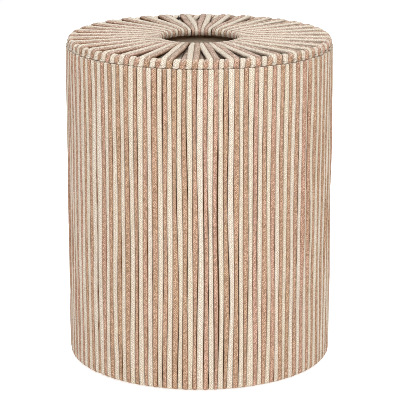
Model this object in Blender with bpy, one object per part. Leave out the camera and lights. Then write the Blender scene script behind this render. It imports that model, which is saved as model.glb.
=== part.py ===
"""Cord-covered hat box: a round board drum with cords laid upright round it, and a cord-wound lid that lifts off.

Metres, +Z up. The origin is the middle of the standing face, and -Y is the front.
"""

import math

import bmesh
import bpy
from mathutils import Matrix, Vector
from mathutils.kdtree import KDTree

# Overall sizes
OUTER_RADIUS = 0.175  # over the ridges of the side cords
BODY_HEIGHT = 0.4180  # floor to the top of the side cords, where the lid rests
LID_INSET = 0.0015  # the lid's rim lies this far inside the side's ridges
HOLE_RADIUS = 0.050  # clear opening in the lid

# Side cords: cream and tan lengths laid in turn, worked in groups
CORD_PAIRS = 88
PAIRS_PER_GROUP = 4
SIDE_CORD = 0.0056  # thickness of a laid cord, from the wall to its ridge
VALLEY_SHARE = 0.45  # height of the dip between two cords, as a share of the thickness
GROUP_GAP = 0.0004  # between one group of cords and the next

# Board drum
WALL_THICKNESS = 0.003
FLOOR_THICKNESS = 0.003
LINING_THICKNESS = 0.001
CORD_LIFT = 0.0005  # the cords stop this far above the standing face

# Lid: two wire hoops on spokes, wound with a cream and a tan cord side by side
HOOP_WIRE = 0.003
LID_CORD = 0.0046  # thickness of a wound cord over a hoop
LID_CORD_WIDTH = 0.0062
LID_TURNS = 36  # radial turns, each followed by one extra turn round the outer hoop
LID_STRANDS = 12  # separate lengths of the double cord
STRAND_GAP = 0.0006  # between neighbouring turns where they crowd at the hole
RISE_SPREAD = 0.5  # the two cords close up to this share of their width where they rise between turns
LID_FRONT_TURN = math.radians(-92.8)  # direction of one radial turn
WINDING = -1  # the turns follow one another clockwise, seen from above
SPOKES = 6
SPOKE_OFFSET = -0.12  # shares of a turn, so that a spoke passes beside the rising cord

# Wooden ring under the lid, which drops into the mouth of the drum
RING_HEIGHT = 0.008
RING_WIDTH = 0.018
RING_PLAY = 0.002

CLEARANCE = 0.0003  # between pieces that touch

# Worked out from the sizes above
GROUPS = CORD_PAIRS // PAIRS_PER_GROUP
CORDS_PER_GROUP = 2 * PAIRS_PER_GROUP
BACK_STEPS = 4  # flats on the back of a group, which match the drum's flats
ROUND_STEPS = GROUPS * BACK_STEPS
WALL_RADIUS = OUTER_RADIUS - SIDE_CORD - CLEARANCE
WALL_INNER = WALL_RADIUS - WALL_THICKNESS
WALL_MIDDLE = WALL_RADIUS - WALL_THICKNESS / 2
SIDE_BACK = WALL_THICKNESS / 2 + CLEARANCE  # from the middle of the wall to the cords' back
SIDE_RIDGE = SIDE_BACK + SIDE_CORD
TURN_FLAT = math.cos(math.radians(30))  # reach of a turn that is faceted every 60 degrees
WALL_BOTTOM = CORD_LIFT + SIDE_RIDGE
WALL_TOP = BODY_HEIGHT - SIDE_RIDGE * TURN_FLAT
MOUTH_RADIUS = WALL_MIDDLE - SIDE_RIDGE
FLOOR_TOP = WALL_BOTTOM + FLOOR_THICKNESS
LID_RADIUS = OUTER_RADIUS - LID_INSET
LID_BACK = (HOOP_WIRE / 2 + CLEARANCE) / TURN_FLAT  # from the middle of a hoop to the cord's back
LID_RIDGE = LID_BACK + LID_CORD
OUTER_HOOP = LID_RADIUS - LID_RIDGE * TURN_FLAT
INNER_HOOP = HOLE_RADIUS + LID_RIDGE
LID_MIDDLE = BODY_HEIGHT + CLEARANCE + LID_RIDGE
TURN_ANGLE = 2 * math.pi / LID_TURNS
RING_TOP = LID_MIDDLE - LID_RIDGE - CLEARANCE
RING_RADIUS = MOUTH_RADIUS - RING_PLAY


def clear_scene():
    """Removes whatever the scene holds."""
    for thing in list(bpy.data.objects):
        bpy.data.objects.remove(thing)


def material(name, colour, roughness, metallic=0.0):
    """A plain Principled material."""
    made = bpy.data.materials.new(name)
    made.use_nodes = True
    shader = made.node_tree.nodes["Principled BSDF"]
    shader.inputs["Base Color"].default_value = (*colour, 1.0)
    shader.inputs["Roughness"].default_value = roughness
    shader.inputs["Metallic"].default_value = metallic
    made.diffuse_color = (*colour, 1.0)
    return made


def add_object(name, mesh, parent):
    """An object for a mesh, under one of the two bodies."""
    thing = bpy.data.objects.new(name, mesh)
    bpy.context.scene.collection.objects.link(thing)
    thing.parent = parent
    return thing


def finish_mesh(name, shape, materials, sharp=math.radians(40)):
    """A mesh from a bmesh, facing out and shaded smooth over its gentle edges."""
    bmesh.ops.recalc_face_normals(shape, faces=shape.faces)
    mesh = bpy.data.meshes.new(name)
    shape.to_mesh(mesh)
    shape.free()
    for each in materials:
        mesh.materials.append(each)
    mesh.shade_smooth()
    mesh.set_sharp_from_angle(angle=sharp)
    return mesh


def polar(radius, angle, height):
    """A point from its distance to the axis, direction and height."""
    return Vector((radius * math.cos(angle), radius * math.sin(angle), height))


def loft(sections, tints, caps):
    """A closed bmesh through cross-sections of equally many points.

    tints gives the material of each side, and caps the point numbers of each face that closes an end.
    """
    shape = bmesh.new()
    rings = [[shape.verts.new(point) for point in section] for section in sections]
    count = len(rings[0])
    for one, two in zip(rings, rings[1:]):
        for side in range(count):
            after = (side + 1) % count
            face = shape.faces.new((one[side], one[after], two[after], two[side]))
            face.material_index = tints[side]
    for cap in caps:
        shape.faces.new([rings[0][number] for number in cap])
        shape.faces.new([rings[-1][number] for number in reversed(cap)])
    return shape


def turned(name, profile, finish, parent):
    """A ring turned about the axis from a closed outline of (radius, height) points."""
    shape = bmesh.new()
    points = [shape.verts.new((radius, 0.0, height)) for radius, height in profile]
    edges = [shape.edges.new((a, b)) for a, b in zip(points, points[1:] + points[:1])]
    bmesh.ops.spin(
        shape,
        geom=points + edges,
        axis=(0, 0, 1),
        cent=(0, 0, 0),
        steps=ROUND_STEPS,
        angle=2 * math.pi,
        use_merge=True,
    )
    bmesh.ops.remove_doubles(shape, verts=shape.verts, dist=1e-6)
    return add_object(name, finish_mesh(name, shape, [finish]), parent)


def disc(name, radius, bottom, top, finish, parent):
    """A round panel."""
    shape = bmesh.new()
    bmesh.ops.create_cone(
        shape,
        cap_ends=True,
        segments=ROUND_STEPS,
        radius1=radius,
        radius2=radius,
        depth=top - bottom,
        matrix=Matrix.Translation((0, 0, (top + bottom) / 2)),
    )
    return add_object(name, finish_mesh(name, shape, [finish]), parent)


def hoop(name, radius, sweep_steps, finish, parent):
    """A wire ring in the middle plane of the lid."""
    wire_steps = 6
    sections = []
    shape = bmesh.new()
    for step in range(sweep_steps):
        angle = 2 * math.pi * step / sweep_steps
        ring = []
        for side in range(wire_steps):
            turn = 2 * math.pi * side / wire_steps
            reach = radius + HOOP_WIRE / 2 * math.cos(turn)
            ring.append(shape.verts.new(polar(reach, angle, HOOP_WIRE / 2 * math.sin(turn))))
        sections.append(ring)
    for one, two in zip(sections, sections[1:] + sections[:1]):
        for side in range(wire_steps):
            after = (side + 1) % wire_steps
            shape.faces.new((one[side], one[after], two[after], two[side]))
    return add_object(name, finish_mesh(name, shape, [finish]), parent)


def spoke(name, angle, finish, parent):
    """A straight wire between the two hoops."""
    start = INNER_HOOP + HOOP_WIRE / 2 + CLEARANCE
    end = OUTER_HOOP - HOOP_WIRE / 2 - CLEARANCE
    shape = bmesh.new()
    bmesh.ops.create_cone(
        shape,
        cap_ends=True,
        segments=8,
        radius1=HOOP_WIRE / 2,
        radius2=HOOP_WIRE / 2,
        depth=end - start,
        matrix=Matrix.Rotation(math.pi / 2, 4, "Y"),
    )
    thing = add_object(name, finish_mesh(name, shape, [finish]), parent)
    thing.matrix_local = Matrix.Rotation(angle, 4, "Z") @ Matrix.Translation(((start + end) / 2, 0, 0))
    return thing


def side_section(start, width, lean, height):
    """Cross-section of a group of side cords where they lean round the wall's edge: ridges, then the flat back."""
    section = []
    cord_angle = width / CORDS_PER_GROUP
    for half in range(2 * CORDS_PER_GROUP + 1):
        rise = 1.0 if half % 2 else VALLEY_SHARE
        reach = SIDE_BACK + SIDE_CORD * rise
        angle = start + cord_angle * half / 2
        section.append((reach, angle))
    for step in range(BACK_STEPS, -1, -1):
        section.append((SIDE_BACK, start + width * step / BACK_STEPS))
    return [
        polar(WALL_MIDDLE + reach * math.cos(lean), angle, height + reach * math.sin(lean))
        for reach, angle in section
    ]


def side_cord_mesh(finishes):
    """Eight cords side by side: over the top edge of the wall, down its face and under its bottom edge."""
    gap = GROUP_GAP / WALL_RADIUS
    width = 2 * math.pi / GROUPS - gap
    leans = [(180, WALL_TOP), (120, WALL_TOP), (60, WALL_TOP), (0, WALL_TOP)]
    leans += [(0, WALL_BOTTOM), (-45, WALL_BOTTOM), (-90, WALL_BOTTOM)]
    sections = [side_section(gap / 2, width, math.radians(lean), height) for lean, height in leans]
    tints = [half // 2 % 2 for half in range(2 * CORDS_PER_GROUP)]
    last = len(sections[0]) - 1
    tints += [0] * (last + 1 - len(tints))
    ridges = 2 * CORDS_PER_GROUP // BACK_STEPS
    caps = [
        [*range(ridges * step, ridges * (step + 1) + 1), last - step - 1, last - step]
        for step in range(BACK_STEPS)
    ]
    return finish_mesh("side_cords", loft(sections, tints, caps), finishes, math.radians(70))


def side_cords(finishes, parent):
    """The groups of side cords, equal and spaced round the drum."""
    mesh = side_cord_mesh(finishes)
    for group in range(GROUPS):
        thing = add_object(f"side_cords_{group + 1:02d}", mesh, parent)
        thing.rotation_euler.z = 2 * math.pi * group / GROUPS


def strand_section(hoop_radius, lean, turn, spread=1.0):
    """Cross-section of the double cord on a hoop: two ridges with a dip between, and a flat back."""
    lean = math.radians(lean)
    reach = hoop_radius + LID_RIDGE * math.cos(lean)
    crowded = reach * TURN_ANGLE - STRAND_GAP
    half = min(LID_CORD_WIDTH * spread, crowded / 2)
    outline = ((-half, 0.0), (-0.55 * half, 1.0), (0.0, VALLEY_SHARE), (0.55 * half, 1.0), (half, 0.0))
    about = Matrix.Rotation(WINDING * turn * TURN_ANGLE, 3, "Z")
    points = []
    for across, rise in outline:
        away = LID_BACK + LID_CORD * rise
        points.append(about @ Vector((hoop_radius + away * math.cos(lean), across, away * math.sin(lean))))
    return points


def strand_route():
    """Where one length of the double cord goes: (hoop radius, lean, turns, spread) of its cross-sections in order."""
    route = []
    turns = LID_TURNS // LID_STRANDS
    for turn in range(turns):
        route += [(INNER_HOOP, lean, turn) for lean in (210, 150, 90)]
        route += [(OUTER_HOOP, lean, turn) for lean in (90, 30, -30, -90)]
        route += [(OUTER_HOOP, -150, turn + 0.17, RISE_SPREAD), (OUTER_HOOP, -210, turn + 0.36, RISE_SPREAD)]
        route += [(OUTER_HOOP, lean, turn + 0.5) for lean in (-270, -330, -390, -450)]
        route += [(INNER_HOOP, -90, turn + 1)]
    route += [(INNER_HOOP, 222, turns)]
    return route


def least_gap(sections, across=6, along=24):
    """Least distance between stretches of a strand that don't follow one another, on sampled points."""
    found = []
    for band, (one, two) in enumerate(zip(sections, sections[1:])):
        for side in range(len(one)):
            after = (side + 1) % len(one)
            for i in range(across):
                for j in range(along):
                    near = one[side].lerp(one[after], i / across)
                    far = two[side].lerp(two[after], i / across)
                    found.append((near.lerp(far, j / along), band))
    tree = KDTree(len(found))
    for index, (point, _) in enumerate(found):
        tree.insert(point, index)
    tree.balance()
    least = HOOP_WIRE
    for point, band in found:
        for _, index, distance in tree.find_range(point, least):
            if abs(found[index][1] - band) > 1:
                least = min(least, distance)
    return least


def lid_cords(finishes, parent):
    """The lengths of double cord wound over the two hoops."""
    sections = [strand_section(*place) for place in strand_route()]
    print(f"least gap of a lid strand to itself: {1000 * least_gap(sections):.2f} mm")
    mesh = finish_mesh("lid_cords", loft(sections, (0, 0, 1, 1, 0), [range(5)]), finishes, math.radians(70))
    for strand in range(LID_STRANDS):
        thing = add_object(f"lid_cords_{strand + 1:02d}", mesh, parent)
        thing.rotation_euler.z = LID_FRONT_TURN + 2 * math.pi * strand / LID_STRANDS


def body(name, height):
    """An empty that carries the pieces of one moving body."""
    empty = bpy.data.objects.new(name, None)
    empty.location.z = height
    bpy.context.scene.collection.objects.link(empty)
    return empty


def build_drum(cords, board, lining, parent):
    """The standing part: base, floor, wall, lining and side cords."""
    disc("base_disc", WALL_MIDDLE - CLEARANCE, 0.0, WALL_BOTTOM - CLEARANCE, board, parent)
    disc("floor_panel", WALL_INNER - CLEARANCE, WALL_BOTTOM, FLOOR_TOP, board, parent)
    wall = (
        (WALL_INNER, WALL_BOTTOM),
        (WALL_RADIUS, WALL_BOTTOM),
        (WALL_RADIUS, WALL_TOP),
        (WALL_INNER, WALL_TOP),
    )
    turned("drum_wall", wall, board, parent)
    outside = WALL_INNER - CLEARANCE
    inside = outside - LINING_THICKNESS
    low, high = FLOOR_TOP + CLEARANCE, WALL_TOP - CLEARANCE
    turned("wall_lining", ((inside, low), (outside, low), (outside, high), (inside, high)), lining, parent)
    side_cords(cords, parent)


def build_lid(cords, steel, wood, parent):
    """The part that lifts off: wire hoops and spokes, the cord wound on them, and the locating ring."""
    hoop("lid_outer_hoop", OUTER_HOOP, 72, steel, parent)
    hoop("lid_inner_hoop", INNER_HOOP, 36, steel, parent)
    for number in range(SPOKES):
        turn = number * LID_TURNS / SPOKES + SPOKE_OFFSET
        spoke(f"lid_spoke_{number + 1}", LID_FRONT_TURN + WINDING * turn * TURN_ANGLE, steel, parent)
    lid_cords(cords, parent)
    high = RING_TOP - LID_MIDDLE
    low = high - RING_HEIGHT
    inside = RING_RADIUS - RING_WIDTH
    ring = ((inside, low), (RING_RADIUS, low), (RING_RADIUS, high), (inside, high))
    turned("lid_locating_ring", ring, wood, parent)


def main():
    clear_scene()
    cream = material("cream_cord", (0.82, 0.76, 0.65), 0.9)
    tan = material("tan_cord", (0.62, 0.41, 0.30), 0.9)
    board = material("dark_board", (0.06, 0.04, 0.03), 0.8)
    lining = material("paper_lining", (0.58, 0.49, 0.40), 0.85)
    steel = material("dark_wire", (0.10, 0.09, 0.09), 0.45, 1.0)
    wood = material("stained_plywood", (0.10, 0.065, 0.045), 0.6)
    build_drum([cream, tan], board, lining, body("drum", 0.0))
    build_lid([cream, tan], steel, wood, body("lid", LID_MIDDLE))


main()
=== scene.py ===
"""Looks of the cord-covered hat box: every cord as its own tube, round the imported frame."""

import math

import bpy
import numpy as np
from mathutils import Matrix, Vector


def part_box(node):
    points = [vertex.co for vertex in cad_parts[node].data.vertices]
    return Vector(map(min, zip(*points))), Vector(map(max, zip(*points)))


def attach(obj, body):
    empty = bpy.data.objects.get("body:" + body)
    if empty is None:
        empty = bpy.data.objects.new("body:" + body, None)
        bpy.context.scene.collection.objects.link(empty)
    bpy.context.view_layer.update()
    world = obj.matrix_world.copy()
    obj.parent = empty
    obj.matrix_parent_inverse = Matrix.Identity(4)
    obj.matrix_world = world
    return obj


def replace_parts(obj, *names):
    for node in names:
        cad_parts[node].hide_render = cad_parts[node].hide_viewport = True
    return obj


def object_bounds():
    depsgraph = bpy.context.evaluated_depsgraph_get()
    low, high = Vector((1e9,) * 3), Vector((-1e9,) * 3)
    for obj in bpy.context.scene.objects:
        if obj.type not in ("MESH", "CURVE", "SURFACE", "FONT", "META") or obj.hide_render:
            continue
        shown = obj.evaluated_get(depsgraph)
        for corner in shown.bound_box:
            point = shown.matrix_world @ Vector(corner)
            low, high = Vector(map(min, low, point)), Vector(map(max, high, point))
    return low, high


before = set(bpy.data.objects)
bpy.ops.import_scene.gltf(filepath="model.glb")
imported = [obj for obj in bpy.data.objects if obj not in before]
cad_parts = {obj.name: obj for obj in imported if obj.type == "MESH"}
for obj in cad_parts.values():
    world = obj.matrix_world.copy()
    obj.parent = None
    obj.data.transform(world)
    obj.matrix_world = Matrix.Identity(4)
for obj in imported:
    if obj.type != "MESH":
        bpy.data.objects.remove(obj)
cad_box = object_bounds()

# Sizes of the rigid pieces, and places from the frame, in metres
WALL_THICKNESS = 0.003
HOOP_WIRE = 0.003
wall, outer_hoop, inner_hoop = (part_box(node) for node in ("drum_wall", "lid_outer_hoop", "lid_inner_hoop"))
first_side, first_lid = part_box("side_cords_01"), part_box("lid_cords_01")
WALL_BOTTOM, WALL_TOP = wall[0].z, wall[1].z
WALL_MIDDLE = wall[1].x - WALL_THICKNESS / 2
CORD_LIFT, BODY_TOP = first_side[0].z, first_side[1].z
SIDE_RIDGE = cad_box[1].x - WALL_MIDDLE  # from the middle of the wall to the outside of a side cord
LID_MIDDLE = (outer_hoop[0].z + outer_hoop[1].z) / 2
OUTER_HOOP = outer_hoop[1].x - HOOP_WIRE / 2
INNER_HOOP = inner_hoop[1].x - HOOP_WIRE / 2
LID_RIM = OUTER_HOOP + first_lid[1].z - LID_MIDDLE  # radius over the wound rim
FRONT = -math.pi / 2  # direction of the front

# Sections of the cords: half sizes in metres, and powers (2 for an oval, more for a squarer form)
SIDES = 14  # faces round a cord
SIDE_HALF = 0.0028  # half thickness of a side cord
SIDE_POWER = 3.4
SIDE_OVERLAP = 1.01  # width of a cord over its room, so that neighbours press together
SIDE_CENTRE = WALL_MIDDLE + SIDE_RIDGE - SIDE_HALF  # radius of the side cords' middle lines
LID_HALF = 0.00245  # half thickness of a lid cord where it lies free
LID_HALF_WIDTH = 0.0040  # its half width where it has the room
LID_POWER = 2.2
LID_OVERLAP = 1.02

# A side cord's way over the wall: leans are degrees round its top and its foot, 0 outward and 90 upward
CORD_PAIRS = 88
TOP_LEANS = np.linspace(188, 0, 17)
TOP_POWER = 12.0  # a nearly square bend
TOP_TAPER = (0.6, 0.85, 0.96)  # share of the thickness in the first rings, at the cord's upper end
FACE_SHARES = np.linspace(1, 0, 56)[1:-1]  # heights on the face of the wall, as shares of it
FOOT_LEANS = np.linspace(0, -90, 9)
FOOT_POWER = 2.4
FOOT_TAPER = (0.9, 0.7)  # and in the last rings, at its lower end
CORNER_THINNING = 0.0019  # half thickness that a cord loses in the middle of a bend

# The side cords' places round the drum: shares of the pitch, unless a unit is given
FIRST_CREAM = math.radians(0.3)  # direction of a cream cord near the front, from the photograph
FRONT_SPREAD = 0.045  # the cords lie this much wider at the front than on average, and closer at the back
CREAM_GAIN = 0.04  # what a cream cord gains on each side at the front
TAN_GAIN = 0.03  # and a tan cord at the sides and the back
FIXED_WANDER = 0.065  # unevenness of the edges between cords, along the whole edge
WAVY_WANDER = 0.085  # and in waves along it
WANDER_WAVES = (0.4, 0.9, 1.7)  # waves over the height
DRIFT = 0.0008  # metres by which whole groups of cords lean to one side
DRIFT_GROUPS = 3  # such groups round the drum
DRIFT_CLIMB, DRIFT_START = 4.2, 0.5  # their phase in radians: from foot to top, and at the front of the foot
END_FADE = 0.6  # power by which drift and relief fade towards the top and the foot

# The side cords' slits and relief, in metres
SLIT = 0.0006
SLIT_WAVES = (0.8, 1.9, 3.7)  # waves over the height
LEAST_BY_CREAM, LEAST_BY_TAN = 0.3, 0.9  # noise that opens a slit left of a cream cord and left of a tan one
SLIT_MOST = 0.9  # noise past that, at which a slit is widest
SLIT_PLAIN, SLIT_FRONT = 0.8, 0.7  # size of the slits everywhere, and what they gain low at the front
FRONT_REACH = math.radians(30)  # angle over which that gain fades to the sides
FRONT_HEIGHT = 1.2  # height at which it ends, as a share of the side
RELIEF = 0.00012  # how unevenly the cords stand out at the front
RELIEF_WAVES = (0.9, 2.3)
SIDE_RELIEF = 5  # how many times that is added at the sides and the back
MOST_RELIEF = 0.0008

# Places where two cords part: degrees from the front, heights as shares of the side, and the slit
PARTINGS = (
    (7.4, 0.10, 0.80, 0.0013),
    (44.2, 0.00, 1.00, 0.0008),
    (-15.0, 0.80, 1.00, 0.0010),
    (-25.3, 0.15, 0.85, 0.0006),
    (1.3, 0.05, 0.80, 0.0006),
    (-0.7, 0.10, 0.50, 0.0006),
    (11.6, 0.20, 0.48, 0.0008),
    (15.6, 0.00, 0.42, 0.0006),
    (24.0, 0.30, 0.85, 0.0007),
    (5.4, 0.00, 0.30, 0.0008),
    (9.5, 0.00, 0.25, 0.0007),
    (-33.4, 0.30, 0.45, 0.0007),
)
PARTING_FADE = 0.15  # share of the height over which a slit opens

# Cords squeezed back between their neighbours: degrees from the front and heights
SQUEEZED = (
    (-46.5, 0.0, 1.0),
    (48.6, 0.5, 1.0),
    (112.0, 0.0, 0.6),
    (158.0, 0.35, 1.0),
    (-95.0, 0.1, 0.5),
    (-152.0, 0.0, 0.8),
)
SQUEEZE_FADE = 0.5
SQUEEZE_LOSS = 0.32  # share of the pitch that such a cord loses on each side
SQUEEZE_DEPTH = 0.0014

# The lid cords' turns, each of a cream and a tan cord side by side
LID_TURNS = 36
PAIR = 2
LID_PRESS = 0.0004  # how far the lid's cords press into the tops of the side cords
LID_DROP = LID_MIDDLE - BODY_TOP + LID_PRESS  # from the hoop down to the lid cords' lowest line
LID_FILL = 0.97  # share of the room between turns that the cords fill
LEAST_SWELL, MOST_SWELL, SWELL_POWER = 0.96, 1.2, 0.7  # a cord squeezed narrower grows thicker
HOOP_GAP = 0.0001  # between a hoop and the cords round it

# Round the hole
HOLE_HALF = 0.0020  # half thickness where the cords are drawn tight
HOLE_POWER = 2.0
HOLE_LEANS = np.linspace(262, 100, 10)  # degrees round the hoop, from under it, through the hole, to its top
HOLE_WRAP = 0.0045  # radius of the bend round the hoop along which the cords narrow towards the hole
HOLE_ROOM = 0.0040  # from the hoop's middle in to where the room between turns is measured
HOLE_FADE = 0.03  # way from the hoop over which the cords regain their thickness

# Across the lid
TOP_INSET = 0.001  # from a hoop's middle to the end of a run across
LOW_INSET = 0.002  # and to the start of a run underneath
TOP_SHARES = np.linspace(0, 1, 10)  # places along a run
LOW_SHARES = np.linspace(0.04, 0.98, 7)
LOW_START = 0.56  # share of the way to the next turn at which the pair leaves the rim underneath

# Round the rim
RIM_POWER = 1.9  # of the bend round the hoop
SEAM_POWER = 9.0  # and outside and below it, where the cords lie on the side cords
RIM_HALF = 0.0017  # half thickness beside and under the hoop
RIM_TOP_HALF = 0.0023  # and over it
EXTRA_TOP_HALF = 0.0016  # and over it in the extra turn

# In each turn: lean on the hoop, share of the way to the next turn, and share of the cord's width
RADIAL_PASS = (
    (75, 0.0, 1.0), (60, 0.0, 1.0), (40, 0.005, 1.0), (20, 0.01, 1.0), (0, 0.02, 1.0),
    (-25, 0.035, 1.0), (-50, 0.05, 1.0), (-72, 0.07, 1.0), (-90, 0.10, 0.95),
)
RISE = (
    (-112, 0.15, 0.85), (-135, 0.20, 0.75), (-158, 0.25, 0.7), (-180, 0.30, 0.7),
    (-203, 0.345, 0.75), (-226, 0.39, 0.85), (-248, 0.42, 0.95),
)
EXTRA_PASS = (
    (-268, 0.44, 1.0), (-285, 0.452, 1.0), (-300, 0.462, 1.0), (-320, 0.475, 1.0), (-340, 0.487, 1.0),
    (-360, 0.5, 1.0), (-385, 0.513, 1.0), (-410, 0.526, 1.0), (-432, 0.54, 0.95), (-450, 0.55, 0.9),
)

# Uneven radial turns near the front, in degrees: even direction, shift at the rim and shift at the hole
TURN_SHIFTS = (
    (-180.0, 0.0, 0.0),
    (-60.0, 0.3, 0.6),
    (-36.0, 0.0, -1.5),
    (-22.8, -0.5, -3.7),
    (-12.8, -0.8, -5.7),
    (-2.8, 0.0, -3.0),
    (7.2, -1.4, -2.2),
    (17.2, -2.8, -0.7),
    (27.2, -3.1, -0.5),
    (50.0, -1.8, 0.0),
    (80.0, 0.0, 0.0),
    (180.0, 0.0, 0.0),
)
TURN_FRONT = math.radians(-2.8)  # direction of one radial turn
JITTER_FROM = 35  # degrees from the front past which the turns are uneven at random
RIM_JITTER, HOLE_JITTER = 0.4, 0.5  # degrees

# Tone of the lid cords, from 0 for the first shade of their dye to 1 for the second
TONE_MIDDLE, TONE_SPREAD = 0.5, 0.3
TONE_WAVES = (7, 13, 19, 31, 47)  # waves over the whole cord

# Braid, dye and painted shade of the cords: lengths in metres, scales of the noise in cycles a metre
STITCHES_ROUND = 12  # yarns round a cord, each way; an even number
STITCH_LENGTH = 0.0024
REPEAT = 4.0  # crossings after which a yarn's way, over two and under two, repeats
CROWN_POWER, END_POWER = 0.8, 0.5  # roundness of a yarn across and along a stitch
STITCH_POWER = 1.3  # above 1, most stitches are pale
YARN_SCALE, YARN_GIRTH = 450.0, 0.012  # sideways wander of the yarns, and the way round a cord in its noise
SLACK_SCALE, SLACK = 90.0, 3.0  # slack of the braid along a cord, and its most in stitches
DYE_SCALE, DYE_SHARE = 24.0, 0.4  # shade that varies along a cord, and its share beside the cord's own tone
FIBRE_SCALE, FIBRE_GIRTH = 1100.0, 0.019  # loose fibres
FIBRE_HEIGHT = 0.25  # how far they stand up beside the yarns
# Scale of the noise of the painted shade on the cords' flanks
CREVICE_SHADE_SCALE = 45.0
GROOVE_SHADE = 0.9  # how far the grooves between yarns are painted darker: painted shade
BRAID_STRENGTH, BRAID_DEPTH = 0.8, 0.0006  # of the bump
CORD_APART = 7.0  # metres between cords in the noise
CORD_ROUGHNESS, CORD_GLOSS = 0.95, 0.0

# Ranges that are mapped in the materials: from low and high, and to low and high if not to 0 and 1
DYE_RANGE = (0.3, 0.7)  # from noise
FIBRE_RANGE = (0.35, 0.65, 0.0, 0.35)  # from noise to how far it darkens
GROOVE_RANGE = (0.7, 0.1)  # from the yarn's height, for the painted shade in the grooves
TOP_LIGHT_RANGE = (0.0, 1.0, 0.0, 0.75)  # from how far a cord faces up to how far it is painted paler: painted top light
CREVICE_SHADE_RANGE = (0.38, 0.62, 0.25, 0.95)  # from noise to how much painted shade there is
FLANK_RANGE = (0.78, 0.98)  # from how far a cord's surface faces its neighbour
CONTACT_RANGE = (0.93, 0.995, 0.0, 1.05)  # the same, where they touch
CONTACT_SHADE_RANGE = (0.25, 0.95, 0.45, 0.95)  # from how much painted shade there is to how much where they touch
GRAIN_RANGE = (0.35, 0.65)  # from noise

# Grain of the rigid pieces
COARSE_SHARE, FINE_SHARE = 0.7, 0.3
FINE_SCALE = 9  # how many times finer than the coarse grain
GRAIN_STRENGTH = 0.4  # of the bump
PLAIN_GLOSS = 0.1

# Two shades of dye, the darkest colour, for dark stitches and for painted shade in the grooves, and a paler
# colour painted where a cord faces up, as painted top light
CREAM = ((0.785, 0.705, 0.625), (0.73, 0.65, 0.525), (0.27, 0.195, 0.12), (0.82, 0.755, 0.655))
TAN = ((0.765, 0.47, 0.37), (0.61, 0.42, 0.265), (0.10, 0.048, 0.022), (0.76, 0.63, 0.535))
# Colour of the painted shade on the cords' flanks, between neighbours
CREVICE_SHADE = (0.13, 0.05, 0.014)
CREAM_UNEVEN, TAN_UNEVEN = 0.22, 0.52  # how far single stitches darken
# How strongly the side cords and the lid cords are painted with shade on their flanks
SIDE_CREVICE_SHADE, LID_CREVICE_SHADE = 1.0, 0.5

# Stage
FLOOR = -0.0004  # height, just under the base disc
FLOOR_REACH = 30  # from the middle to an edge
FLOOR_COLOUR = (0.9, 0.9, 0.9)
FLOOR_ROUGHNESS = 0.9
FLOOR_GLOW = 0.45
WORLD_LIGHT = 0.42
WHITE = (1, 1, 1)
COOL = (0.94, 0.955, 0.98)

# Lights: name, place, aim, size, watts and colour
LIGHTS = (
    ("softbox_left", (-2.5, -1.4, 1.4), (0, 0, 0.25), 1.6, 7, WHITE),
    ("softbox_right", (2.5, -1.4, 1.2), (0, 0, 0.25), 1.6, 15, WHITE),
    ("softbox_front", (0.0, -3.2, 1.25), (0, 0, 0.3), 0.35, 65, WHITE),
    ("softbox_back", (1.6, 2.6, 0.6), (0, 0, 0.2), 1.6, 27, WHITE),
    ("top", (0.0, -0.2, 2.4), (0, 0, 0.4), 1.2, 42, COOL),
)

# Camera
PHOTO_WIDTH = 400  # pixels
FOCAL_LENGTH = 1893  # pixels
SENSOR_WIDTH = 36  # millimetres
CAMERA_PLACE = (0.0005, -2.45, 0.8593)
CAMERA_TILT = 14.91  # degrees down
FILTER_WIDTH = 0.8  # pixels

SEED = 7
rng = np.random.default_rng(SEED)


# Curves and noise


def rounded(angle, power):
    """Point of a unit superellipse: a circle at power 2, squarer above."""
    c, s = np.cos(angle), np.sin(angle)
    return np.sign(c) * np.abs(c) ** (2 / power), np.sign(s) * np.abs(s) ** (2 / power)


def rounded_normal(angle, wide, high, power):
    """Unit normal of a superellipse with the given half sizes."""
    c, s = np.cos(angle), np.sin(angle)
    x = np.sign(c) * np.abs(c) ** (2 - 2 / power) / wide
    y = np.sign(s) * np.abs(s) ** (2 - 2 / power) / high
    length = np.hypot(x, y)
    return x / length, y / length


def wavy(count, places, waves):
    """Seeded smooth noise of about unit size: one row of values over the places (0..1) for each cord."""
    total = np.zeros((count, len(places)))
    for wave in waves:
        phase = rng.random((count, 1))
        total += rng.normal(size=(count, 1)) * np.sin(2 * np.pi * (wave * places + phase))
    return total * math.sqrt(2 / len(waves))


def window(places, low, high, soft):
    """1 between low and high, falling off smoothly outside."""
    rise = np.clip((places - low) / soft + 0.5, 0, 1)
    fall = np.clip((high - places) / soft + 0.5, 0, 1)
    both = rise * fall
    return both * both * (3 - 2 * both)


def nearest_to(degrees, directions):
    """Number of the direction nearest to an angle from the front."""
    return np.argmin(np.abs(directions - math.radians(degrees)))


# Cord tubes


def unit(vectors):
    """The rows of an array, each of length 1."""
    return vectors / np.linalg.norm(vectors, axis=1)[:, None]


def along(points, closed):
    """Unit tangents of a row of points."""
    if closed:
        return unit(np.roll(points, -1, 0) - np.roll(points, 1, 0))
    return unit(np.gradient(points, axis=0))


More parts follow.
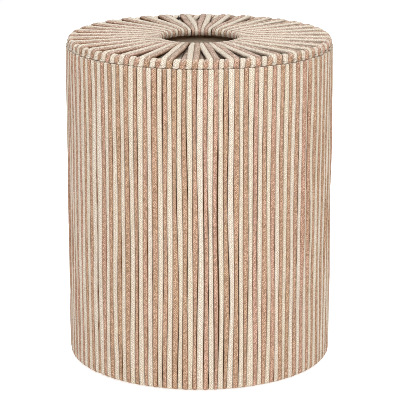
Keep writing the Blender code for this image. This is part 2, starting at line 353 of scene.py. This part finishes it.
class Cords:
    """Collects swept tubes into one mesh.

    Its UVs are the share round the cord and the metres along it. Each point has its cord's number and a tone.
    """

    UV_NAME = "CordUV"
    UV_SPREAD = 3.0  # metres along which the cords' starts are scattered
    TOP_SHARE = 0.25  # share round the cord of its outside, used on its ends

    def __init__(self):
        self.points, self.faces, self.uvs, self.tones, self.numbers = [], [], [], [], []
        self.count = 0

    def add(self, centres, normals, wide, high, power, tone, closed=False):
        """Sweeps a section, wide across and high along the normal (half sizes), along the centres."""
        outside = centres + high[:, None] * normals  # never doubles back, even in a sharp bend
        tangents = along(outside, closed)
        normals = unit(normals - (normals * tangents).sum(1)[:, None] * tangents)
        across = np.cross(normals, tangents)
        side, top = rounded(np.linspace(0, 2 * np.pi, SIDES, endpoint=False) + math.pi / SIDES, power)
        rings = (
            centres[:, None]
            + wide[:, None, None] * across[:, None] * side[None, :, None]
            + high[:, None, None] * normals[:, None] * top[None, :, None]
        )
        count = len(centres)
        steps = np.linalg.norm(np.roll(outside, -1, 0) - outside, axis=1)
        length = self.UV_SPREAD * rng.random() + np.concatenate([[0], np.cumsum(steps)])
        self.cover(count, length, closed)
        self.points.append(rings.reshape(-1, 3))
        self.tones.append(np.repeat(np.broadcast_to(tone, count), SIDES))
        self.numbers.append(np.full(count * SIDES, float(len(self.numbers))))
        self.count += count * SIDES

    def cover(self, count, length, closed):
        """Joins the rings of a new tube with faces, and closes its ends."""
        for ring in range(count if closed else count - 1):
            here = self.count + ring * SIDES
            there = self.count + (ring + 1) % count * SIDES
            for j in range(SIDES):
                k = (j + 1) % SIDES
                self.faces.append((here + j, here + k, there + k, there + j))
                for u, v in ((j, ring), (j + 1, ring), (j + 1, ring + 1), (j, ring + 1)):
                    self.uvs.append(((u + 0.5) / SIDES, length[v]))
        if not closed:
            for ring, order in ((0, -1), (count - 1, 1)):
                self.faces.append(tuple(self.count + ring * SIDES + j for j in range(SIDES))[::order])
                self.uvs += [(self.TOP_SHARE, length[ring])] * SIDES

    def make(self, name, material, body, slot):
        """The finished object, riding on its body."""
        mesh = bpy.data.meshes.new(name)
        mesh.from_pydata(np.concatenate(self.points).tolist(), [], self.faces)
        layer = mesh.uv_layers.new(name=self.UV_NAME)
        layer.data.foreach_set("uv", np.asarray(self.uvs, np.float32).ravel())
        for key, values in (("tone", self.tones), ("number", self.numbers)):
            kept = mesh.attributes.new(key, "FLOAT", "POINT")
            kept.data.foreach_set("value", np.concatenate(values).astype(np.float32))
        mesh.materials.append(material)
        mesh.shade_smooth()
        thing = bpy.data.objects.new(name, mesh)
        bpy.context.scene.collection.objects.link(thing)
        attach(thing, body)
        return thing


# Shader nodes


def new_material(name, rough, gloss=PLAIN_GLOSS):
    """A Principled material, with its node tree and shader."""
    made = bpy.data.materials.new(name)
    made.use_nodes = True
    shader = made.node_tree.nodes["Principled BSDF"]
    shader.inputs["Roughness"].default_value = rough
    shader.inputs["Specular IOR Level"].default_value = gloss
    return made, made.node_tree, shader


def feed(tree, socket, value):
    """Links a socket, or sets a number, vector or colour."""
    if isinstance(value, bpy.types.NodeSocket):
        tree.links.new(value, socket)
    elif isinstance(value, tuple) and len(value) == 3 and socket.type == "RGBA":
        socket.default_value = (*value, 1.0)
    else:
        socket.default_value = value


def calc(tree, operation, *values):
    """A Math node."""
    node = tree.nodes.new("ShaderNodeMath")
    node.operation = operation
    for socket, value in zip(node.inputs, values):
        feed(tree, socket, value)
    return node.outputs[0]


def plus(tree, first, second):
    """The sum of two numbers."""
    return calc(tree, "ADD", first, second)


def minus(tree, first, second):
    """The difference of two numbers."""
    return calc(tree, "SUBTRACT", first, second)


def times(tree, first, second):
    """The product of two numbers."""
    return calc(tree, "MULTIPLY", first, second)


def hump(tree, share, power):
    """0 at both ends of a share from 0 to 1, and 1 in its middle."""
    return calc(tree, "POWER", calc(tree, "SINE", times(tree, share, math.pi)), power)


def choose(tree, which, first, second):
    """The second number where which is 1, the first where it is 0."""
    node = tree.nodes.new("ShaderNodeMix")
    for socket, value in zip(node.inputs[0:1] + node.inputs[2:4], (which, first, second)):
        feed(tree, socket, value)
    return node.outputs[0]


def mix(tree, factor, first, second):
    """A colour Mix node."""
    node = tree.nodes.new("ShaderNodeMix")
    node.data_type = "RGBA"
    for socket, value in zip((node.inputs[0], node.inputs[6], node.inputs[7]), (factor, first, second)):
        feed(tree, socket, value)
    return node.outputs[2]


def span(tree, value, low, high, to_low=0.0, to_high=1.0):
    """A clamped Map Range node."""
    node = tree.nodes.new("ShaderNodeMapRange")
    for key, number in zip(("From Min", "From Max", "To Min", "To Max"), (low, high, to_low, to_high)):
        node.inputs[key].default_value = number
    tree.links.new(value, node.inputs["Value"])
    return node.outputs["Result"]


def vector(tree, *values):
    """A Combine XYZ node."""
    node = tree.nodes.new("ShaderNodeCombineXYZ")
    for socket, value in zip(node.inputs, values):
        feed(tree, socket, value)
    return node.outputs[0]


def split(tree, source):
    """A Separate XYZ node's three numbers."""
    node = tree.nodes.new("ShaderNodeSeparateXYZ")
    tree.links.new(source, node.inputs[0])
    return node.outputs


def attribute(tree, name):
    """A number kept in the mesh."""
    node = tree.nodes.new("ShaderNodeAttribute")
    node.attribute_name = name
    return node.outputs["Fac"]


def noise(tree, place, scale, detail=3.0):
    """A noise pattern, mostly between 0.3 and 0.7."""
    node = tree.nodes.new("ShaderNodeTexNoise")
    node.inputs["Scale"].default_value = scale
    node.inputs["Detail"].default_value = detail
    tree.links.new(place, node.inputs["Vector"])
    return node.outputs["Fac"]


def bump(tree, shader, height, strength, distance):
    """A Bump node on the shader."""
    node = tree.nodes.new("ShaderNodeBump")
    node.inputs["Strength"].default_value = strength
    node.inputs["Distance"].default_value = distance
    tree.links.new(height, node.inputs["Height"])
    tree.links.new(node.outputs[0], shader.inputs["Normal"])


# Materials


def braid(tree, round_cord, along_cord, number, line):
    """Two sets of yarns, climbing to the left and to the right, over two of the others and under two.

    Gives the height of the upper yarn, from 0 in a groove to 1, and a random number for each stitch.
    """
    yarn_place = vector(tree, times(tree, round_cord, YARN_GIRTH), along_cord, number)
    wander = noise(tree, yarn_place, YARN_SCALE, detail=2.0)
    turn = plus(tree, times(tree, round_cord, float(STITCHES_ROUND)), wander)
    slack = times(tree, noise(tree, line, SLACK_SCALE), SLACK)
    climb = plus(tree, times(tree, along_cord, 1 / STITCH_LENGTH), slack)
    left, right = plus(tree, turn, climb), minus(tree, turn, climb)
    left_row, right_row = calc(tree, "FLOOR", left), calc(tree, "FLOOR", right)
    crossing = calc(tree, "FLOORED_MODULO", plus(tree, left_row, right_row), REPEAT)
    left_over = calc(tree, "LESS_THAN", crossing, REPEAT / 2 - 0.5)

    across_left, across_right = minus(tree, left, left_row), minus(tree, right, right_row)
    across = choose(tree, left_over, across_right, across_left)
    along_left, along_right = plus(tree, right, left_row), plus(tree, left, right_row)
    share_left = times(tree, calc(tree, "FLOORED_MODULO", along_left, REPEAT), 2 / REPEAT)
    share_right = times(tree, calc(tree, "FLOORED_MODULO", along_right, REPEAT), 2 / REPEAT)
    share = choose(tree, left_over, minus(tree, share_right, 1.0), share_left)
    height = times(tree, hump(tree, across, CROWN_POWER), hump(tree, share, END_POWER))

    cell = tree.nodes.new("ShaderNodeTexWhiteNoise")
    cell.noise_dimensions = "3D"
    row = choose(tree, left_over, plus(tree, right_row, 0.5), left_row)  # the half keeps the two sets apart
    step = calc(tree, "FLOOR", times(tree, choose(tree, left_over, along_right, along_left), 1 / REPEAT))
    tree.links.new(vector(tree, row, step, number), cell.inputs["Vector"])
    return height, calc(tree, "POWER", cell.outputs["Value"], STITCH_POWER)


def crevice_shade_cover(tree, round_cord, line):
    """Painted shade on the flanks, where cords press on each other: in patches, and darkest in the contact
    line.
    """
    flank = calc(tree, "ABSOLUTE", calc(tree, "COSINE", times(tree, round_cord, 2 * math.pi)))
    patches = span(tree, noise(tree, line, CREVICE_SHADE_SCALE, detail=4.0), *CREVICE_SHADE_RANGE)
    spread = times(tree, span(tree, flank, *FLANK_RANGE), patches)
    contact = span(tree, flank, *CONTACT_RANGE)
    pressed = times(tree, contact, span(tree, patches, *CONTACT_SHADE_RANGE))
    return calc(tree, "MAXIMUM", spread, pressed)


def cord_material(name, colours, uneven, crevice_shading):
    """Braided cotton: each stitch with its own shade, uneven dye, loose fibres, painted shade in the grooves
    between yarns, tops painted paler as painted top light, and painted shade on the flanks.
    """
    first, second, dark_stitch_and_groove_shade, top_lit_colour = colours
    made, tree, shader = new_material(name, CORD_ROUGHNESS, CORD_GLOSS)
    uv = tree.nodes.new("ShaderNodeUVMap")
    uv.uv_map = Cords.UV_NAME
    round_cord, along_cord, _ = split(tree, uv.outputs[0])
    tone, number = attribute(tree, "tone"), attribute(tree, "number")
    line = vector(tree, times(tree, number, CORD_APART), along_cord, 0.0)

    dye = span(tree, noise(tree, line, DYE_SCALE), *DYE_RANGE)
    shade = plus(tree, times(tree, dye, DYE_SHARE), times(tree, tone, 1 - DYE_SHARE))
    # Surfaces that face up are painted paler: painted top light.
    _, _, upward = split(tree, tree.nodes.new("ShaderNodeNewGeometry").outputs["Normal"])
    painted_top_light = span(tree, upward, *TOP_LIGHT_RANGE)
    body = mix(tree, painted_top_light, mix(tree, shade, first, second), top_lit_colour)

    yarn, stitch = braid(tree, round_cord, along_cord, number, line)
    fibre_place = vector(tree, times(tree, round_cord, FIBRE_GIRTH), along_cord, number)
    fibre = noise(tree, fibre_place, FIBRE_SCALE, detail=2.0)
    speck = plus(tree, times(tree, stitch, uneven), span(tree, fibre, *FIBRE_RANGE))
    # Grooves between yarns are painted darker: painted shade.
    painted_groove_shade = times(tree, span(tree, yarn, *GROOVE_RANGE), GROOVE_SHADE)
    braid_and_groove_shade = mix(tree, calc(tree, "MAXIMUM", speck, painted_groove_shade), body, dark_stitch_and_groove_shade)

    # Flanks where cords meet are painted darker: painted shade between cords.
    crevice_shaded = times(tree, crevice_shade_cover(tree, round_cord, line), crevice_shading)
    tree.links.new(mix(tree, crevice_shaded, braid_and_groove_shade, CREVICE_SHADE), shader.inputs["Base Color"])
    height = plus(tree, yarn, times(tree, fibre, FIBRE_HEIGHT))
    bump(tree, shader, height, BRAID_STRENGTH, BRAID_DEPTH)
    return made


def grained(name, light, dark, rough, stretch, scale, depth):
    """Board, paper, wood or paint: two colours mixed by a stretched noise, with a fine bump.

    The stretch multiplies the scale, in cycles a metre, along each axis. The depth is the bump's, in metres.
    """
    made, tree, shader = new_material(name, rough)
    mapping = tree.nodes.new("ShaderNodeMapping")
    mapping.inputs["Scale"].default_value = stretch
    tree.links.new(tree.nodes.new("ShaderNodeTexCoord").outputs["Object"], mapping.inputs["Vector"])
    coarse = noise(tree, mapping.outputs[0], scale, detail=6.0)
    fine = noise(tree, mapping.outputs[0], scale * FINE_SCALE)
    blend = plus(tree, times(tree, coarse, COARSE_SHARE), times(tree, fine, FINE_SHARE))
    tree.links.new(mix(tree, span(tree, blend, *GRAIN_RANGE), light, dark), shader.inputs["Base Color"])
    bump(tree, shader, blend, GRAIN_STRENGTH, depth)
    return made


# Side cords


def side_course():
    """A side cord's way round the wall's top, down its face and round its foot.

    Gives arrays of the centre and the normal (out, up), the half thickness and the share of the height.
    """
    rows = []

    def bend(leans, middle, high, power, taper, share):
        for lean, thinner in zip(np.radians(leans), taper):
            out, up = rounded(lean, power)
            normal = rounded_normal(lean, SIDE_RIDGE, high, power)
            half = (SIDE_HALF - CORNER_THINNING * math.sin(2 * lean) ** 2) * thinner
            centre = (SIDE_RIDGE * out - half * normal[0], middle + high * up - half * normal[1])
            rows.append((*centre, *normal, half, share))

    top_taper = np.append(TOP_TAPER, np.ones(len(TOP_LEANS) - len(TOP_TAPER)))
    foot_taper = np.append(np.ones(len(FOOT_LEANS) - len(FOOT_TAPER)), FOOT_TAPER)
    bend(TOP_LEANS, WALL_TOP, BODY_TOP - WALL_TOP, TOP_POWER, top_taper, 1.0)
    for share in FACE_SHARES:
        height = WALL_BOTTOM + share * (WALL_TOP - WALL_BOTTOM)
        rows.append((SIDE_RIDGE - SIDE_HALF, height, 1.0, 0.0, SIDE_HALF, share))
    bend(FOOT_LEANS, WALL_BOTTOM, WALL_BOTTOM - CORD_LIFT, FOOT_POWER, foot_taper, 0.0)
    return np.array(rows).T


def side_layout(share):
    """Direction, half width and outward shift of every cord along its course.

    Each pair of neighbours shares an edge, which is cut back on both sides where they part.
    """
    count = 2 * CORD_PAIRS
    plain = 2 * math.pi / count
    order = np.arange(count)
    facing = (FIRST_CREAM + order * plain + math.pi) % (2 * math.pi) - math.pi
    frontal = np.maximum(0, np.cos(facing))[:, None]
    before_tan = order[:, None] % 2 == 0
    between_ends = np.sin(math.pi * share) ** END_FADE

    # Edges
    wander = FIXED_WANDER * rng.normal(size=(count, 1)) + WAVY_WANDER * wavy(count, share, WANDER_WAVES)
    gain = (CREAM_GAIN + TAN_GAIN) * frontal - TAN_GAIN
    edge = plain * (0.5 + np.where(before_tan, gain, -gain) + wander)

    # Slits
    low_front = np.exp(-((facing[:, None] / FRONT_REACH) ** 2)) * (FRONT_HEIGHT - share)
    opening = wavy(count, share, SLIT_WAVES) - np.where(before_tan, LEAST_BY_TAN, LEAST_BY_CREAM)
    slit = np.clip(opening, 0, SLIT_MOST) * SLIT * (SLIT_PLAIN + SLIT_FRONT * low_front)
    for degrees, low, high, gap in PARTINGS:
        number = nearest_to(degrees, facing + plain / 2)
        slit[number] = np.maximum(slit[number], gap * window(share, low, high, PARTING_FADE))

    # Relief
    relief = RELIEF * (1 + SIDE_RELIEF * (1 - frontal) * between_ends)
    out = np.clip(relief * wavy(count, share, RELIEF_WAVES), -MOST_RELIEF, MOST_RELIEF)
    for degrees, low, high in SQUEEZED:
        number = nearest_to(degrees, facing)
        shut = window(share, low, high, SQUEEZE_FADE)
        edge[number] -= SQUEEZE_LOSS * plain * shut
        edge[number - 1] += SQUEEZE_LOSS * plain * shut
        out[number] -= SQUEEZE_DEPTH * shut
        slit[[number - 1, number]] *= 1 - shut

    lean = np.sin(DRIFT_GROUPS * facing[:, None] + DRIFT_CLIMB * share + DRIFT_START)
    edge += DRIFT / SIDE_CENTRE * lean * between_ends
    high_side = edge - slit / 2 / SIDE_CENTRE
    low_side = np.roll(edge + slit / 2 / SIDE_CENTRE, 1, 0) - plain
    even = FIRST_CREAM + order[:, None] * plain + (low_side + high_side) / 2
    direction = FRONT + even + FRONT_SPREAD * np.sin(even)
    half_width = (high_side - low_side) / 2 * SIDE_CENTRE * (1 + FRONT_SPREAD * np.cos(even))
    return direction, half_width, out


def side_cords():
    """All the side cords: cream and tan in turn round the drum."""
    out, up, normal_out, normal_up, half, share = side_course()
    direction, half_width, shift = side_layout(share)
    cream, tan = Cords(), Cords()
    for number in range(2 * CORD_PAIRS):
        radius = WALL_MIDDLE + out + shift[number] * normal_out
        c, s = np.cos(direction[number]), np.sin(direction[number])
        centres = np.stack([radius * c, radius * s, up + shift[number] * normal_up], 1)
        normals = np.stack([normal_out * c, normal_out * s, normal_up], 1)
        wide = half_width[number] * radius / SIDE_CENTRE * SIDE_OVERLAP
        colour = tan if number % 2 else cream
        colour.add(centres, normals, wide, half, SIDE_POWER, rng.random())
    cream_dye = cord_material("side_cream_cord", CREAM, CREAM_UNEVEN, SIDE_CREVICE_SHADE)
    tan_dye = cord_material("side_tan_cord", TAN, TAN_UNEVEN, SIDE_CREVICE_SHADE)
    covered = [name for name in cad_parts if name.startswith("side_cords")]
    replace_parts(cream.make("side_cords_cream", cream_dye, "drum", "side_cord"), *covered)
    tan.make("side_cords_tan", tan_dye, "drum", "side_cord")


# Lid cords


def wrapped(row):
    """A round of clockwise directions, with the last one before it and the first one after it."""
    return np.concatenate([[row[-1] + 2 * math.pi], row, [row[0] - 2 * math.pi]])


def lid_turns():
    """Directions of every radial turn at the rim and at the hole, wrapped."""
    plain = TURN_FRONT - np.arange(LID_TURNS) * 2 * math.pi / LID_TURNS
    degrees = (np.degrees(plain) + 180) % 360 - 180
    knots, at_rim, at_hole = np.array(TURN_SHIFTS).T
    away = np.abs(degrees) > JITTER_FROM
    rim_shift = np.interp(degrees, knots, at_rim) + RIM_JITTER * away * rng.normal(size=LID_TURNS)
    hole_shift = np.interp(degrees, knots, at_hole) + HOLE_JITTER * away * rng.normal(size=LID_TURNS)
    return wrapped(plain + np.radians(rim_shift)), wrapped(plain + np.radians(hole_shift))


class LidCourse:
    """Middle line of the double cord: rows of point, normal, half width and half thickness."""

    def __init__(self):
        self.rows = []
        rims, holes = lid_turns()
        for turn in range(LID_TURNS):
            self.wind(rims[turn:turn + 3], holes[turn:turn + 3])

    def wind(self, rims, holes):
        """One turn: through the hole, across the top, twice round the rim and back underneath.

        It goes by the directions before, in and after this turn, at the rim and at the hole.
        """
        before, rim, after = rims
        hole_before, hole, next_hole = holes
        hole_pitch = (hole_before - next_hole) / 2
        # Half widths: the room between two turns holds one pair of cords at the hole and two at the rim
        squeezed = min(LID_HALF_WIDTH, LID_FILL * hole_pitch * (INNER_HOOP - HOLE_ROOM) / (2 * PAIR))
        radial_wide = (before - after) / 2 * LID_RIM / (4 * PAIR)
        extra_wide = (rim - after) * LID_RIM / (4 * PAIR)
        for lean in HOLE_LEANS:
            radius = INNER_HOOP + HOLE_WRAP * math.cos(math.radians(lean))
            wide = squeezed * radius / (INNER_HOOP - HOLE_WRAP)
            drop = HOOP_WIRE / 2 + 2 * HOLE_HALF
            self.on_hoop(INNER_HOOP, lean, hole, wide, HOLE_POWER, HOLE_HALF, HOLE_HALF, drop)
        self.run((INNER_HOOP + TOP_INSET, hole), (OUTER_HOOP - TOP_INSET, rim), hole_pitch, 1, TOP_SHARES)
        self.on_rim(RADIAL_PASS, rim, after, radial_wide, RIM_TOP_HALF)
        self.on_rim(RISE, rim, after, radial_wide, EXTRA_TOP_HALF)
        self.on_rim(EXTRA_PASS, rim, after, extra_wide, EXTRA_TOP_HALF)
        low_start = (OUTER_HOOP - LOW_INSET, rim + LOW_START * (after - rim))
        self.run(low_start, (INNER_HOOP + TOP_INSET, next_hole), hole_pitch, -1, LOW_SHARES)

    def put(self, radius, height, direction, normal, wide, high):
        """Adds a row, at a height from the middle of the lid."""
        c, s = math.cos(FRONT + direction), math.sin(FRONT + direction)
        point = (radius * c, radius * s, LID_MIDDLE + height)
        self.rows.append((*point, normal[0] * c, normal[0] * s, normal[1], wide, high))

    def on_hoop(self, hoop, lean, direction, wide, power, side, top, drop):
        """Puts a row where the cord leans over a hoop: thickness beside and on it, and its reach below."""
        lean = math.radians(lean)
        high = side + (top - side) * max(0.0, math.sin(lean)) ** 2
        ridge, rise = (HOOP_WIRE / 2 + HOOP_GAP + 2 * half for half in (side, top))
        reach = rise if math.sin(lean) > 0 else drop
        out, up = rounded(lean, power)
        normal = rounded_normal(lean, ridge, reach, power)
        radius, height = hoop + ridge * out - high * normal[0], reach * up - high * normal[1]
        self.put(radius, height, direction, normal, wide, high)

    def on_rim(self, course, start, end, wide, top):
        """Follows a course round the rim, between the directions of two turns."""
        for lean, share, narrow in course:
            below = math.sin(math.radians(lean)) < 0
            outside = math.cos(math.radians(lean)) > 0
            power = SEAM_POWER if below and outside else RIM_POWER
            direction = start + share * (end - start)
            self.on_hoop(OUTER_HOOP, lean, direction, wide * narrow, power, RIM_HALF, top, LID_DROP)

    def run(self, start, end, pitch, sign, shares):
        """Straight across the lid from one (radius, direction) to another, on its top or its underside."""
        ends = [radius * np.array((math.cos(way), math.sin(way))) for radius, way in (start, end)]
        for share in shares:
            x, y = (1 - share) * ends[0] + share * ends[1]
            radius = math.hypot(x, y)
            wide = min(LID_HALF_WIDTH, LID_FILL * pitch * radius / (2 * PAIR))
            swell = min(MOST_SWELL, max(LEAST_SWELL, (LID_HALF_WIDTH / wide) ** SWELL_POWER))
            high = HOLE_HALF + (LID_HALF * swell - HOLE_HALF) * min(1.0, (radius - INNER_HOOP) / HOLE_FADE)
            height = sign * (HOOP_WIRE / 2 + HOOP_GAP + high)
            self.put(radius, height, math.atan2(y, x), (0.0, sign), wide, high)


def lid_cords():
    """The cream and the tan cord, wound side by side over both hoops."""
    rows = np.array(LidCourse().rows)
    points, normals, wide, high = rows[:, :3], rows[:, 3:6], rows[:, 6], rows[:, 7]
    across = unit(np.cross(normals, along(points + high[:, None] * normals, closed=True)))
    places = np.linspace(0, 1, len(points))
    covered = [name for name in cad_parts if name.startswith("lid_cords")]
    for side, colour, dye, uneven in ((-1, "cream", CREAM, CREAM_UNEVEN), (1, "tan", TAN, TAN_UNEVEN)):
        material = cord_material(f"lid_{colour}_cord", dye, uneven, LID_CREVICE_SHADE)
        tone = np.clip(TONE_MIDDLE + TONE_SPREAD * wavy(1, places, TONE_WAVES)[0], 0, 1)
        centres = points + (side * wide)[:, None] * across
        made = Cords()
        made.add(centres, normals, wide * LID_OVERLAP, high, LID_POWER, tone, closed=True)
        thing = made.make(f"lid_cords_{colour}", material, "lid", "lid_cord")
        if side < 0:
            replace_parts(thing, *covered)


# Rigid pieces


def rigid_pieces():
    """Finishes of the frame's own pieces."""
    even, upright, along_x = (1, 1, 1), (1, 1, 0.3), (0.15, 1, 4)  # ways of the grain
    board = grained("dark_board", (0.12, 0.058, 0.025), (0.07, 0.034, 0.015), 0.85, upright, 60.0, 0.0003)
    paper = grained("paper_lining", (0.86, 0.70, 0.54), (0.78, 0.62, 0.46), 0.9, even, 90.0, 0.0002)
    plywood = grained("plywood", (0.50, 0.36, 0.23), (0.40, 0.27, 0.16), 0.6, along_x, 45.0, 0.0003)
    # The ring's stain is darkened past plain plywood to stand in for the shade under the lid: partly stain,
    # partly painted shade.
    stain = ((0.42, 0.22, 0.115), (0.30, 0.15, 0.075))
    stained = grained("stained_plywood", *stain, 0.55, along_x, 45.0, 0.0003)
    paint = grained("dark_paint", (0.045, 0.034, 0.028), (0.034, 0.026, 0.022), 0.4, even, 120.0, 0.0001)
    finishes = {
        "base_disc": plywood,
        "floor_panel": paper,
        "drum_wall": board,
        "wall_lining": paper,
        "lid_locating_ring": stained,
        "lid_outer_hoop": paint,
        "lid_inner_hoop": paint,
    }
    finishes |= {name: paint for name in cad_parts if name.startswith("lid_spoke")}
    for node, finish in finishes.items():
        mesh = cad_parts[node].data
        mesh.materials.clear()
        mesh.materials.append(finish)


# Stage, light and camera


def area_light(name, place, aim, size, power, colour):
    """A soft square light."""
    lamp = bpy.data.lights.new(name, "AREA")
    lamp.energy, lamp.size, lamp.color = power, size, colour
    thing = bpy.data.objects.new(name, lamp)
    thing.location = place
    way = np.array(aim) - np.array(place)
    tilt = math.atan2(math.hypot(way[0], way[1]), -way[2])
    thing.rotation_euler = (tilt, 0, math.atan2(-way[0], way[1]))
    bpy.context.scene.collection.objects.link(thing)


def stage():
    """A pale floor that glows a little, white light from all round, and the softboxes."""
    corners = ((-1, -1), (1, -1), (1, 1), (-1, 1))
    mesh = bpy.data.meshes.new("floor")
    mesh.from_pydata([(x * FLOOR_REACH, y * FLOOR_REACH, FLOOR) for x, y in corners], [], [(0, 1, 2, 3)])
    made, _, shader = new_material("floor", FLOOR_ROUGHNESS)
    shader.inputs["Base Color"].default_value = (*FLOOR_COLOUR, 1)
    shader.inputs["Emission Color"].default_value = (*WHITE, 1)
    shader.inputs["Emission Strength"].default_value = FLOOR_GLOW
    mesh.materials.append(made)
    floor = bpy.data.objects.new("floor", mesh)
    bpy.context.scene.collection.objects.link(floor)
    world = bpy.data.worlds.new("studio")
    bpy.context.scene.world = world
    world.use_nodes = True
    background = world.node_tree.nodes["Background"]
    background.inputs["Color"].default_value = (*WHITE, 1)
    background.inputs["Strength"].default_value = WORLD_LIGHT
    for light in LIGHTS:
        area_light(*light)


def camera():
    """The photograph's viewpoint: from the front and above, through a long lens."""
    scene = bpy.context.scene
    lens = bpy.data.cameras.new("camera")
    lens.sensor_width = SENSOR_WIDTH
    lens.lens = FOCAL_LENGTH / PHOTO_WIDTH * SENSOR_WIDTH
    thing = bpy.data.objects.new("camera", lens)
    thing.location = CAMERA_PLACE
    thing.rotation_euler = (math.radians(90 - CAMERA_TILT), 0, 0)
    scene.collection.objects.link(thing)
    scene.camera = thing
    scene.view_settings.view_transform = "Standard"
    scene.cycles.filter_width = FILTER_WIDTH
    scene.cycles.denoising_prefilter = "NONE"  # keeps the braid, which is finer than the denoiser's grain


side_cords()
lid_cords()
rigid_pieces()
stage()
camera()
